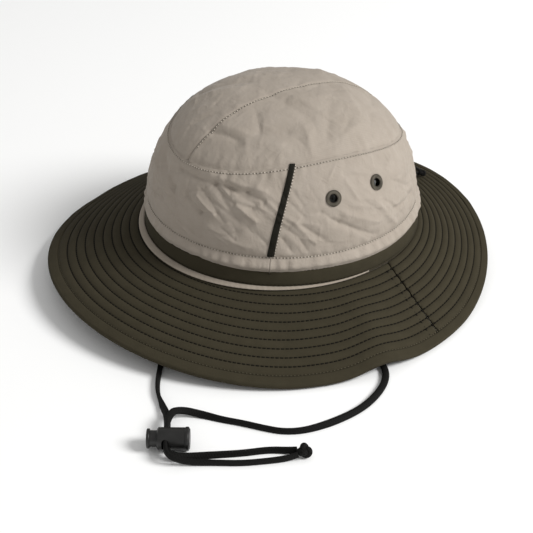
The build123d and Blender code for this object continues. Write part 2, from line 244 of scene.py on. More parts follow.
# Creases of the top, in mm: x, y to x, y from the crown's axis, width and depth.
TOP_CREASES = (
    (30, -46, 44, -26, 4.4, -1.6), (36, -50, 50, -34, 4.0, 1.3), (8, -62, 28, -54, 4.2, -1.5),
    (12, -55, 30, -47, 4.6, 1.2), (6, -16, 40, -8, 6.0, -1.2), (14, -6, 52, 8, 6.0, 1.0),
    (-38, -48, -14, -26, 6.5, 1.2), (-46, -40, -20, -16, 5.5, -1.5), (-12, -66, -4, -52, 4.0, -1.0),
    (20, -34, 34, -40, 4.0, -1.3), (34, 14, 58, -4, 5.0, -1.2), (-24, 20, -48, -6, 6.0, -1.1),
    (16, 36, 44, 30, 6.5, 1.2), (-30, 50, -6, 34, 6.0, 1.1), (10, 66, 30, 52, 5.0, -1.1),
    (-60, 10, -50, 34, 5.5, 1.2), (52, 26, 60, 6, 4.6, 1.0), (46, -14, 64, -20, 3.4, 1.0),
)
SHAKE = np.random.default_rng(7)


def random_folds(count, *spans):
    """Seeded creases: each of u, v, du, dv, width and depth is drawn evenly from its span."""
    u, v, du, dv, width, depth = (SHAKE.uniform(low, high, count) for low, high in spans)
    return list(zip(u, v, u + du, v + dv, width, depth))


SIDE_RANDOM = random_folds(46, (125, 335), (26, 62), (-14, 14), (-14, 14), (2.6, 5.0), (-1.5, 1.4))
FINE_RANDOM = random_folds(420, (-40, 330), (22, 68), (-9, 9), (-10, 10), (0.9, 1.9), (-0.55, 0.55))
LONG_RANDOM = random_folds(110, (-55, 320), (34, 68), (8, 22), (-20, -3), (1.1, 2.3), (-0.95, 0.85))
TOP_RANDOM = random_folds(260, (-66, 66), (-66, 66), (-16, 16), (-16, 16), (1.0, 2.4), (-0.5, 0.5))


def fold_field(u, v, folds, scale_u=1.0):
    """Sum of crisp ridges: each is depth * exp(0.3 - 1.5 * sqrt((distance / width)**2 + 0.04)) with
    the distance taken to its segment."""
    total = np.zeros(np.broadcast(u, v).shape)
    for u0, v0, u1, v1, width, depth in folds:
        du, dv = (u1 - u0) * scale_u, v1 - v0
        pu, pv = (u - u0) * scale_u, v - v0
        share = np.clip((pu * du + pv * dv) / (du * du + dv * dv), 0, 1)
        away = (pu - share * du) ** 2 + (pv - share * dv) ** 2
        total += depth * np.exp(-1.5 * np.sqrt(away / width ** 2 + 0.04) + 0.3)
    return total


def smooth_noise(u, seed, waves=9, low=3, high=17):
    """Periodic wobble round the hat, u in degrees: a sum of sines with seeded phases."""
    draw = np.random.default_rng(seed)
    total = 0
    for _ in range(waves):
        total = total + np.sin(np.radians(u) * draw.integers(low, high) + draw.uniform(0, TAU))
    return total / math.sqrt(waves)


def side_relief(angle, above):
    """How far the side band stands proud of the plain dome: folds, seam grooves, hem gathers."""
    crumple = bpy.context.scene.hat_shape.crumple
    turned = (angle + 60) % 360 - 60
    per_degree = math.pi / 180 * CROWN_R
    relief = fold_field(turned, above, [c[:4] + (c[4] * 0.75, c[5]) for c in CREASES], per_degree) * 0.85
    relief += fold_field(turned, above, SIDE_RANDOM, per_degree)
    relief += fold_field(turned, above, FINE_RANDOM + LONG_RANDOM, per_degree)
    relief += 0.5 * smooth_noise(angle + above * 0.35, 3, 7, 2, 9)
    top = seam_height(angle) - BASE
    calm = 1 - np.exp(-((above - HEM_STITCH) / 5.0) ** 2)
    calm *= 1 - np.exp(-((top - above) / 4.5) ** 2)
    for vent_angle, vent_above in VENTS:
        for at in (vent_angle, 360 - vent_angle):
            near = ((turned % 360 - at) * per_degree) ** 2 + (above - vent_above) ** 2
            calm = calm * (1 - 0.93 * np.exp(-near / 9.0 ** 2))
    relief = relief * calm * crumple
    hem = np.clip((HEM_STITCH - above) / 8.0, 0, 1)
    gather = smooth_noise(angle, 11, 13, 24, 96) * 0.4
    relief += gather * np.sin(np.pi * np.clip(hem, 0, 1)) * 1.1
    up_gather = smooth_noise(angle, 12, 13, 22, 90) * 0.28
    relief += up_gather * np.exp(-((above - HEM_STITCH - 2.6) / 2.6) ** 2)
    top_gather = smooth_noise(angle, 13, 13, 18, 80) * 0.2
    relief += top_gather * np.exp(-((top - above - 3) / 3.0) ** 2)
    front = np.exp(-((turned + 5) / 42.0) ** 2)
    relief += (2.5 - 0.7 * front) * np.exp(-((above - 15.0) / 3.4) ** 2)
    relief -= 0.75 * np.exp(-((above - HEM_STITCH) / 1.5) ** 2)
    relief -= 0.8 * np.exp(-((top - above) / 1.6) ** 2)
    relief -= np.exp(-((angle - 180) % 360 * per_degree) ** 2)     # beside the rear seam
    return relief


def ring_point(angle, radius, z):
    """Point on an oval ring round the crown's axis, mm."""
    turn = np.radians(angle)
    x, y = radius * np.sin(turn), CROWN_Y - OVAL * radius * np.cos(turn)
    return np.stack(np.broadcast_arrays(x, y, z), -1).astype(float)


def side_point(angle, above, proud=0.0):
    """Point of the side band's outside, moved out by proud along the profile's normal."""
    z = BASE + above
    slope = (crown_radius(z + 0.2) - crown_radius(z - 0.2)) / 0.4
    size = np.sqrt(1 + slope ** 2)
    out = side_relief(angle, above) + proud
    return ring_point(angle, crown_radius(z) + out / size, z - out * slope / size)


def top_relief(x, y):
    """Folds, seam groove and soft sag of the top, by plan position from the crown's axis."""
    crumple = bpy.context.scene.hat_shape.crumple
    relief = (fold_field(x, y, TOP_CREASES) + fold_field(x, y, TOP_RANDOM)) * crumple
    radius = np.hypot(x, y / OVAL)
    angle = np.degrees(np.arctan2(x, -y / OVAL))
    rim = crown_radius(seam_height(angle))
    inside = np.clip(rim - radius, 0, None)
    relief *= 1 - np.exp(-(inside / 6.0) ** 2)
    relief += 0.18 * smooth_noise(angle, 21, 13, 16, 76) * np.exp(-((inside - 3) / 3.4) ** 2)
    relief -= 0.8 * np.exp(-(inside / 1.6) ** 2)
    seam = x - TOP_SEAM_X
    relief += 0.35 * np.exp(-((seam - 2.4) / 1.9) ** 2) - 0.75 * np.exp(-(seam / 0.9) ** 2)
    relief += 0.25 * np.sin(y / 3.1 + np.sin(y / 7.0) * 2) * np.exp(-((np.abs(seam) - 3.5) / 2.6) ** 2)
    return relief


def top_point(x, y, proud=0.0):
    """Point of the top's outside over plan position x, y, moved out by proud."""
    radius = np.hypot(x, y / OVAL)
    z = crown_height(radius)
    dr = 0.4
    slope = (crown_height(radius + dr) - crown_height(np.maximum(radius - dr, 0))) / (
        radius + dr - np.maximum(radius - dr, 0))
    size = np.sqrt(1 + slope ** 2)
    out = top_relief(x, y) + proud
    share = np.divide(-slope / size * out, np.maximum(radius, 1e-6))
    return np.stack([x * (1 + share), CROWN_Y + y * (1 + share), z + out / size], -1)


# ------------------------------------------------------------------ cloth of the brim
def edge_point(angle):
    """Middle of the brim's edge: flat arcs at the sides, lifted front and back, a wave over the cord."""
    turn = np.radians(angle)
    end_on = np.clip(np.abs(np.cos(turn)) - 0.42, 0, None) / 0.58
    rise = np.where(np.cos(turn) > 0, 12.9, 18.8) * end_on ** 1.5
    off = (angle + 180) % 360 - 180 - 86.0
    z = 2.55 + rise + 5.5 * np.exp(-(off / 7.0) ** 2)
    return np.stack(np.broadcast_arrays(BRIM_X * np.sin(turn), -BRIM_Y * np.cos(turn), z), -1)


def row_shares():
    """Share of the brim's width, from the crown, at each stitch row."""
    rows = bpy.context.scene.hat_shape.stitch_rows
    return 1 - (EDGE_ROW + ROW_STEP * np.arange(rows)) / BRIM_WIDE


def quilt_height(share):
    """Puff between stitch rows: |sin| of the way across each channel, to a soft power, in mm."""
    rows = np.sort(np.concatenate([row_shares(), [BRIM_ENDS[0], 1.02]]))
    index = np.clip(np.searchsorted(rows, share) - 1, 0, len(rows) - 2)
    way = (share - rows[index]) / (rows[index + 1] - rows[index])
    return bpy.context.scene.hat_shape.quilt / MM * np.abs(np.sin(np.pi * way)) ** 0.6


def brim_point(angle, share, height):
    """Point of the brim: share of the way from the crown to the edge, height off its middle."""
    inner = ring_point(angle, BRIM_INNER_R, BRIM_INNER_Z)
    edge = edge_point(angle)
    along = unit(edge - inner)
    side = unit(np.cross(np.array([0, 0, 1.0]), along))
    up = np.cross(along, side)
    share, height = np.asarray(share, float)[..., None], np.asarray(height, float)[..., None]
    sway = 0.9 * smooth_noise(angle, 31, 6, 2, 8)[..., None] * np.sin(np.pi * np.clip(share, 0, 1))
    return inner + (edge - inner) * share + up * (height + sway)


# ------------------------------------------------------------------ stitching
STITCH_WAY = np.array([0.0, 0.07, 0.17, 0.27, 0.5, 0.63, 0.7])
STITCH_HALF = np.array([0.10, 0.42, 0.40, 0.26, 0.30, 0.26, 0.40])
STITCH_RISE = np.array([0.02, 0.05, 0.07, 0.20, 0.34, 0.20, 0.07])


def stitch_rows(lines, pitch, width, rise):
    """Stitches along lines of (points, normals): slim capsules of seven rings. The attribute along says how
    far along its stitch a point is, and the material paints shade on both ends, where the thread sinks into
    its needle holes."""
    points, faces, marks, count = [], [], [], 0
    for path, normals in lines:
        steps = np.concatenate([[0], np.cumsum(np.linalg.norm(np.diff(path, axis=0), axis=1))])
        total = max(1, int(steps[-1] / pitch))
        at = (np.arange(total)[:, None] + STITCH_WAY[None]) * steps[-1] / total
        spot = np.stack([np.interp(at, steps, path[:, c]) for c in range(3)], -1)
        out = unit(np.stack([np.interp(at, steps, normals[:, c]) for c in range(3)], -1))
        tangent = unit(np.gradient(spot, axis=1))
        side = unit(np.cross(tangent, out))
        half = (STITCH_HALF * width)[None, :, None]
        lift = (STITCH_RISE * rise)[None, :, None]
        ring = np.stack([spot + side * half, spot + out * lift, spot - side * half,
                         spot - out * 0.25], 2)
        n = len(STITCH_WAY)
        one = grid_faces(n, 4, False, True)
        caps = np.array([[3, 2, 1, 0], [4 * n - 4, 4 * n - 3, 4 * n - 2, 4 * n - 1]])
        one = np.vstack([one, caps])
        base = count + np.arange(total)[:, None, None] * 4 * n
        faces.append((one[None] + base).reshape(-1, 4))
        points.append(ring.reshape(-1, 3))
        marks.append(np.repeat(np.tile(STITCH_WAY, total), 4))
        count += total * 4 * n
    return np.vstack(points), np.vstack(faces), np.concatenate(marks)


def stitch(name, lines, pitch, width, rise, finish):
    """One piece of stitching along lines; pitch is a stitch with its needle hole, in mm."""
    points, faces, marks = stitch_rows(lines, pitch, width, rise)
    put_mesh(name, points, faces, CLOTHS[finish], attribute=marks)


def side_line(angles, aboves, proud=0.28):
    """Path and normals on the side band."""
    path = side_point(angles, aboves, proud)
    out = side_point(angles, aboves, proud + 1.0) - path
    return path, unit(out)


def top_line(x, y, proud=0.28):
    """Path and normals on the top."""
    path = top_point(x, y, proud)
    return path, unit(top_point(x, y, proud + 1.0) - path)


def brim_line(angles, share, side=1):
    """Path and normals on the brim's top (side 1) or underside (side -1)."""
    path = brim_point(angles, np.full_like(angles, share), np.full_like(angles, side * 1.62))
    out = brim_point(angles, np.full_like(angles, share), np.full_like(angles, side * 2.62)) - path
    return path, unit(out)


# ------------------------------------------------------------------ materials
def new_material(name):
    """An empty node material, its tree and its output."""
    material = bpy.data.materials.new(name)
    material.use_nodes = True
    material.node_tree.nodes.clear()
    return material, material.node_tree, add_node(material.node_tree, "ShaderNodeOutputMaterial")


def woven(name, light, dark, thread_mm, bump=0.25, sheen=0.15, rough=0.85, blotch_mm=14.0,
          fold_mm=5.0, fold=0.25, twill=False):
    """Woven cloth: two crossed sets of threads of thread_mm on the piece's own UV, in metres, with
    slow colour blotches and shallow crumple."""
    material, tree, output = new_material(name)
    uv = add_node(tree, "ShaderNodeTexCoord")
    wide = add_node(tree, "ShaderNodeMapping", [(uv.outputs["UV"], "Vector")],
                    in_Scale=(1 / (thread_mm * MM),) * 3,
                    in_Rotation=(0, 0, math.radians(27 if twill else 0)))
    warp = add_node(tree, "ShaderNodeTexWave", [(wide.outputs["Vector"], "Vector")],
                    in_Scale=0.314, in_Distortion=0.6, in_Detail=1.0, bands_direction="X")
    weft = add_node(tree, "ShaderNodeTexWave", [(wide.outputs["Vector"], "Vector")],
                    in_Scale=0.314, in_Distortion=0.6, in_Detail=1.0, bands_direction="Y")
    weave = add_node(tree, "ShaderNodeMath", [(warp.outputs["Fac"], 0), (weft.outputs["Fac"], 1)],
                     operation="MAXIMUM" if twill else "MULTIPLY")
    blotch = add_node(tree, "ShaderNodeTexNoise", [(uv.outputs["Object"], "Vector")],
                      in_Scale=1 / (blotch_mm * MM), in_Detail=5.0, in_Roughness=0.6)
    crumple = add_node(tree, "ShaderNodeTexNoise", [(uv.outputs["Object"], "Vector")],
                       in_Scale=1 / (fold_mm * MM), in_Detail=4.0, in_Roughness=0.55, in_Distortion=0.8)
    threads = add_node(tree, "ShaderNodeMath", [(weave.outputs[0], 0)], operation="MULTIPLY", in_1=0.28)
    share = add_node(tree, "ShaderNodeMath", [(blotch.outputs["Fac"], 0), (threads.outputs[0], 2)],
                     operation="MULTIPLY_ADD", in_1=0.8)
    mix = add_node(tree, "ShaderNodeMix", [(share.outputs[0], 0)], data_type="RGBA",
                   in_6=linear(dark), in_7=linear(light))
    low = add_node(tree, "ShaderNodeBump", [(crumple.outputs["Fac"], "Height")],
                   in_Strength=fold, in_Distance=1.2 * MM)
    high = add_node(tree, "ShaderNodeBump", [(weave.outputs[0], "Height"), (low.outputs[0], "Normal")],
                    in_Strength=bump, in_Distance=0.25 * MM)
    shader = add_node(tree, "ShaderNodeBsdfPrincipled", [(mix.outputs[2], "Base Color"),
                      (high.outputs[0], "Normal")], in_Roughness=rough, in_Sheen_Weight=sheen,
                      in_Sheen_Roughness=0.5, in_Specular_IOR_Level=0.12)
    tree.links.new(shader.outputs[0], output.inputs["Surface"])
    return material


def thread(name, colour, hole):
    """Spun polyester sewing thread, with painted shade at each end of a stitch where it sinks into its needle
    hole.
    """
    material, tree, output = new_material(name)
    mark = add_node(tree, "ShaderNodeAttribute", attribute_name="along")
    ramp = add_node(tree, "ShaderNodeValToRGB", [(mark.outputs["Fac"], "Fac")])
    stops = ramp.color_ramp.elements
    # the hole colour is painted shade: each stitch goes dark at both ends where it sinks into the cloth
    stops[0].position, stops[0].color = 0.19, linear(hole)
    stops[1].position, stops[1].color = 0.26, linear(colour)
    for position, code in ((0.58, colour), (0.66, hole)):
        stops.new(position).color = linear(code)
    shader = add_node(tree, "ShaderNodeBsdfPrincipled", [(ramp.outputs[0], "Base Color")],
                      in_Roughness=0.85, in_Specular_IOR_Level=0.1)
    tree.links.new(shader.outputs[0], output.inputs["Surface"])
    return material


def solid_finish(name, colour, rough, metallic=0.0, grain_mm=0.8, bump=0.08, spread=0.12):
    """Moulded or plated finish: fine grain in the bump and a little unevenness in the roughness."""
    material, tree, output = new_material(name)
    place = add_node(tree, "ShaderNodeTexCoord")
    grain = add_node(tree, "ShaderNodeTexNoise", [(place.outputs["Object"], "Vector")],
                     in_Scale=1 / (grain_mm * MM), in_Detail=3.0)
    wear = add_node(tree, "ShaderNodeTexNoise", [(place.outputs["Object"], "Vector")],
                    in_Scale=1 / (5 * MM), in_Detail=4.0)
    rough_map = add_node(tree, "ShaderNodeMapRange", [(wear.outputs["Fac"], "Value")],
                         in_To_Min=rough - spread, in_To_Max=rough + spread)
    tint = add_node(tree, "ShaderNodeMix", [(wear.outputs["Fac"], 0)], data_type="RGBA",
                    in_6=linear(colour), in_7=[min(1, c * 1.5 + 0.004) for c in linear(colour)])
    relief = add_node(tree, "ShaderNodeBump", [(grain.outputs["Fac"], "Height")],
                      in_Strength=bump, in_Distance=0.1 * MM)
    shader = add_node(tree, "ShaderNodeBsdfPrincipled", [(tint.outputs[2], "Base Color"),
                      (rough_map.outputs[0], "Roughness"), (relief.outputs[0], "Normal")],
                      in_Metallic=metallic)
    tree.links.new(shader.outputs[0], output.inputs["Surface"])
    return material


def braid_finish(name, colour):
    """Soft tubular braid: diagonal picks 1.3 mm apart that cross both ways along the cord's UV."""
    material, tree, output = new_material(name)
    uv = add_node(tree, "ShaderNodeTexCoord")
    waves = []
    for lean in (38, -38):
        turned = add_node(tree, "ShaderNodeMapping", [(uv.outputs["UV"], "Vector")],
                          in_Scale=(1 / (1.3 * MM),) * 3, in_Rotation=(0, 0, math.radians(lean)))
        waves.append(add_node(tree, "ShaderNodeTexWave", [(turned.outputs["Vector"], "Vector")],
                              in_Scale=0.314, in_Distortion=0.3))
    both = add_node(tree, "ShaderNodeMath", [(waves[0].outputs["Fac"], 0), (waves[1].outputs["Fac"], 1)],
                    operation="MAXIMUM")
    mix = add_node(tree, "ShaderNodeMix", [(both.outputs[0], 0)], data_type="RGBA",
                   in_6=[c * 0.35 for c in linear(colour)[:3]] + [1], in_7=linear(colour))
    relief = add_node(tree, "ShaderNodeBump", [(both.outputs[0], "Height")],
                      in_Strength=0.6, in_Distance=0.35 * MM)
    shader = add_node(tree, "ShaderNodeBsdfPrincipled", [(mix.outputs[2], "Base Color"),
                      (relief.outputs[0], "Normal")], in_Roughness=0.8, in_Specular_IOR_Level=0.2)
    tree.links.new(shader.outputs[0], output.inputs["Surface"])
    return material


CLOTHS = {}


def make_finishes():
    """Every finish of the hat, made once."""
    c = bpy.context.scene.hat_colours
    # Crown: light cotton and nylon plain weave; threads 0.25 mm apart are drawn at 0.8 mm to show.
    CLOTHS["crown"] = woven("cotton_nylon_plain_weave_tan", c.crown, "92887C", 0.8, 0.16, 0.06, 0.8, fold=0.5)
    # Brim and band: heavier dyed cotton twill; its lines are drawn at 0.9 mm.
    CLOTHS["brim"] = woven("dyed_cotton_twill_olive", c.brim, "302C21", 0.9, 0.3, 0.0, 0.95,
                           blotch_mm=9, fold_mm=3.0, fold=0.12, twill=True)
    # Trim, piping and tapes: ribbed or twilled narrow wares, dull, with their ribs drawn 1 mm apart.
    CLOTHS["trim"] = woven("polyester_grosgrain_tape_dark", c.trim, "161510", 1.2, 0.5, 0.0, 0.8)
    CLOTHS["piping"] = woven("cotton_bias_piping_tan", "A89D90", "8F8578", 0.8, 0.3, 0.05, 0.85)
    CLOTHS["tape"] = woven("cotton_twill_seam_tape", "9A9083", "7C7367", 0.9, 0.5, 0.1, 0.9, twill=True)
    # Inside: a napped knit that looks soft and dark, the crown cloth's flat wrong side, a shiny satin
    # label and a pale fibrous felt.
    CLOTHS["sweat"] = woven("brushed_knit_sweatband", "3A362C", "282520", 1.0, 0.6, 0.4, 0.95)
    CLOTHS["lining"] = woven("crown_cloth_wrong_side", "8F867A", "7A7167", 0.8, 0.3, 0.1, 0.9)
    CLOTHS["label"] = woven("woven_satin_label", "D6D2C8", "C2BDB2", 0.8, 0.3, 0.1, 0.6)
    CLOTHS["felt"] = woven("needled_felt_stiffener", "C9C5BA", "ABA79C", 1.1, 0.6, 0.2, 0.95)
    # Threads: spun, so dull; each stitch shows as a dash with painted shade at the needle hole at each end.
    CLOTHS["tan_thread"] = thread("polyester_thread_cream", "CFC6B8", "3A332B")
    CLOTHS["olive_thread"] = thread("polyester_thread_olive", "15130E", "070605")
    CLOTHS["edge_thread"] = thread("polyester_thread_light_olive", "5E5848", "14120D")
    # Cord: a limp tubular braid, near black, with only a slight gloss on its picks.
    CLOTHS["cord"] = braid_finish("nylon_tubular_braid_black", c.cord)
    # Eyelets: brass plated gunmetal, worn a little brighter; plastic: acetal with a fine spark grain.
    CLOTHS["metal"] = solid_finish("gunmetal_plated_brass", "5A554C", 0.32, 1.0, 0.6, 0.05)
    CLOTHS["plastic"] = solid_finish("moulded_acetal_black", "0E0D0B", 0.4, 0.0, 0.5, 0.2)
    CLOTHS["steel"] = solid_finish("drawn_spring_steel", "9A9A9C", 0.3, 1.0, 0.4, 0.05)


def paint_node(node, finish):
    """Give a CAD node that stays a better finish."""
    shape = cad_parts[node]
    shape.data.materials.clear()
    shape.data.materials.append(CLOTHS[finish])


# ------------------------------------------------------------------ operators
class HAT_OT_finishes(bpy.types.Operator):
    """Make the cloths, threads, metal and plastic"""
    bl_idname = "hat.finishes"
    bl_label = "Finishes"

    def execute(self, context):
        make_finishes()
        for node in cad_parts:
            if "eyelet" in node:
                paint_node(node, "metal")
            elif "spring" in node:
                paint_node(node, "steel")
            elif "lock" in node:
                paint_node(node, "plastic")
        return {"FINISHED"}


def vent_cutters(side):
    """Short rods through the eyelets of one side, to open the cloth behind them."""
    turn = np.linspace(0, TAU, 33)[:-1]
    points, faces, count = [], [], 0
    for angle, above in VENTS:
        centre, tip = (side_point(np.array([angle]), np.array([above]), proud)[0] * MM * [side, 1, 1]
                       for proud in (0.0, 1.0))
        out = unit(tip - centre)
        across = unit(np.cross(out, [0, 0, 1.0]))
        up = np.cross(across, out)
        ring = np.cos(turn)[:, None] * across + np.sin(turn)[:, None] * up
        for reach in (-6 * MM, 6 * MM):
            points.append(centre + ring * VENT_HOLE_R * MM + out * reach)
        faces += [[count + i, count + (i + 1) % 32, count + 32 + (i + 1) % 32, count + 32 + i]
                  for i in range(32)]
        faces += [list(range(count + 31, count - 1, -1)), list(range(count + 32, count + 64))]
        count += 64
    mesh = bpy.data.meshes.new("vent_cutter")
    mesh.from_pydata(np.vstack(points), [], faces)
    face_outwards(mesh)
    return bpy.data.objects.new("vent_cutter", mesh)


def apply_modifiers(piece):
    """Keep the result of a piece's modifiers as its mesh."""
    depsgraph = bpy.context.evaluated_depsgraph_get()
    mesh = bpy.data.meshes.new_from_object(piece.evaluated_get(depsgraph))
    piece.modifiers.clear()
    piece.data = mesh


class HAT_OT_side_band(bpy.types.Operator):
    """Sew the three panels of the side band, folded over at the foot and creased"""
    bl_idname = "hat.side_band"
    bl_label = "Side band"

    def execute(self, context):
        spans = {"side_band_front": (-60, 60), "side_band_left": (60, 180), "side_band_right": (180, 300)}
        for name, (start, end) in spans.items():
            angles = np.linspace(start + 0.06, end - 0.06, 289)
            foot = 13.6 + 0.35 * smooth_noise(angles, 14, 9, 20, 70)
            top = seam_height(angles) - BASE - 0.1
            above = foot[:, None] + (top - foot)[:, None] * np.linspace(0, 1, 92)[None]
            # the ends that meet under a trim lean with it
            lean = trim_angle(np.maximum(above, 20)) - 60
            low_end, high_end = {-60: (-1, 1), 60: (1, 0), 180: (0, -1)}[start]
            way = (angles[:, None] - start) / (end - start)
            grid_angle = angles[:, None] + lean * (low_end * (1 - way) + high_end * way)
            outer = side_point(grid_angle, above)
            inner = side_point(grid_angle, above, CLOTH_IN)
            # the hidden part goes on down behind the band to the brim seam
            down = np.array([[BASE + 9.0, BASE + 0.6]])
            lining = ring_point(grid_angle[:, :1], 92.1, down[:, ::-1])
            hidden = ring_point(grid_angle[:, :1], 92.6, down)
            inner = np.concatenate([hidden, lining, inner[:, 1:]], 1)
            piece = sew(name, outer, inner, "crown", "crown_cloth")
            if name != "side_band_front":
                cutter = vent_cutters(1 if name.endswith("left") else -1)
                context.scene.collection.objects.link(cutter)
                boolean = piece.modifiers.new("vents", "BOOLEAN")
                boolean.object = cutter
                boolean.solver = "EXACT"
                apply_modifiers(piece)
                bpy.data.objects.remove(cutter)
        return {"FINISHED"}


class HAT_OT_top(bpy.types.Operator):
    """Sew the two top panels, joined front to back and bellied into the side band"""
    bl_idname = "hat.top"
    bl_label = "Top panels"

    def execute(self, context):
        front = math.degrees(math.asin(TOP_SEAM_X / 73.5))
        back = 180 - front
        along = np.linspace(0, 1, 221)
        for name, start, end in (("crown_top_left", front, back), ("crown_top_right", front, back - 360)):
            angles = start + (end - start) * along
            rim_r = crown_radius(seam_height(angles) - 0.5)
            rim_x = rim_r * np.sin(np.radians(angles))
            rim_y = -OVAL * rim_r * np.cos(np.radians(angles))
            seam_y = rim_y[0] + (rim_y[-1] - rim_y[0]) * (1 - np.cos(np.pi * along)) / 2
            seam_x = np.full_like(seam_y, TOP_SEAM_X + (0.06 if end > 0 else -0.06))
            across = np.sin(np.linspace(0, 1, 91) * np.pi / 2)[None]
            x = seam_x[:, None] + (rim_x - seam_x)[:, None] * across
            y = seam_y[:, None] + (rim_y - seam_y)[:, None] * across
            sew(name, top_point(x, y), top_point(x, y, CLOTH_IN), "crown", "crown_cloth")
        return {"FINISHED"}


class HAT_OT_crown_stitching(bpy.types.Operator):
    """Run the crown's stitching: ring seam, hem, top seam and rear seam"""
    bl_idname = "hat.crown_stitching"
    bl_label = "Crown stitching"

    def execute(self, context):
        pitch = context.scene.hat_shape.crown_pitch / MM
        angles = np.linspace(0, 360, 1441)
        top = seam_height(angles) - BASE
        lines = [side_line(angles, top - 1.9), side_line(angles, np.full_like(angles, HEM_STITCH))]
        y = np.linspace(-72, 68, 400)
        lines.append(top_line(np.full_like(y, TOP_SEAM_X + 2.3), y))
        lines.append(side_line(np.full(60, 180.9), np.linspace(23, 57, 60)))
        stitch("crown_topstitching", lines, pitch, 1.15, 0.9, "tan_thread")
        return {"FINISHED"}


def trim_angle(above):
    """The trim leans in a straight line as seen from its side: its middle goes from 53.4 degrees at
    the foot to 62.4 at the top."""
    share = (above - 23.0) / (76.4 - 23.0)
    return 53.4 + 9.0 * share - 4.6 * share * (1 - share)


class HAT_OT_trims(bpy.types.Operator):
    """Lay the dark leaning tab and its edge stitching over each front side seam"""
    bl_idname = "hat.trims"
    bl_label = "Side trims"

    def execute(self, context):
        for name, sign in (("side_trim_left", 1), ("side_trim_right", -1)):
            above = np.linspace(22.2, 76.6, 120)
            across = np.linspace(-1, 1, 13)
            half = 1.75 + 0.45 * (76 - above) / 54
            radius = crown_radius(BASE + above)
            angle = trim_angle(above)[:, None] + np.degrees(half / radius)[:, None] * across
            lift = 0.95 - 0.45 * across[None] ** 6 + 0.10 * np.sin(above * 0.9)[:, None] * across[None]
            tall = np.broadcast_to(above[:, None], angle.shape)
            mirror = [sign, 1, 1]
            sew(name, side_point(angle, tall, lift) * mirror, side_point(angle, tall, 0.03) * mirror,
                "trim", "trim_webbing")
            edge = trim_angle(above) + np.degrees((half + 0.35) / radius)
            path, out = side_line(edge, above, 0.15)
            stitch(name + "_stitching", [(path * mirror, out * mirror)], 2.0, 1.25, 1.6, "tan_thread")
        return {"FINISHED"}


class HAT_OT_foot(bpy.types.Operator):
    """Wrap the olive band and the front piping round the foot of the crown"""
    bl_idname = "hat.foot"
    bl_label = "Band and piping"

    def execute(self, context):
        angles = np.linspace(0, 360, 721)[:-1]
        ease = 0.18 * smooth_noise(angles, 41, 7, 3, 14)[:, None]
        tall = np.linspace(0, 1, 22)[None]
        bulge = 0.45 * np.sin(np.pi * tall)
        for share in BAND_ROWS:
            bulge = bulge - 0.3 * np.exp(-((tall - share) / 0.05) ** 2)
        radius = BAND_R - BAND_LEAN * tall + bulge
        eased = radius + ease * np.sin(np.pi * tall)
        height = BAND_LOW + BAND_TALL * tall
        sew("hat_band", ring_point(angles[:, None], eased, height),
            ring_point(angles[:, None], eased - 1.1, height), "brim", "brim_cloth", True)
        lines = []
        for share in BAND_ROWS:
            height = BAND_LOW + BAND_TALL * share
            path = ring_point(np.linspace(0, 360, 721), np.interp(share, tall[0], radius[0]) + 0.02, height)
            lines.append((path, unit(path - [0, CROWN_Y, height])))
        stitch("hat_band_stitching", lines, 2.6, 0.9, 0.6, "olive_thread")

        # crescent: its width is 0.5 + 3.85 cos(angle), laid from the band's foot out over the brim
        angles = np.linspace(-94, 94, 560)
        wide = np.maximum(0.5 + 3.85 * np.cos(np.radians(angles)), 0.15)[:, None]
        way = np.linspace(0, 1, 13)[None]
        step = 0.06 * np.sin(np.radians(angles) * 170)[:, None]
        fall = BASE + 0.95 - 1.45 * way * wide / 4.3
        round_off = 0.5 * (1 - np.abs(2 * way - 1) ** 5)
        under = fall - 0.55 * (1 - np.abs(2 * way - 1) ** 6)
        sew("front_piping", ring_point(angles[:, None], PIPING_R + wide * way, fall + round_off + step),
            ring_point(angles[:, None], PIPING_R + wide * way, under), "piping", "piping")
        return {"FINISHED"}


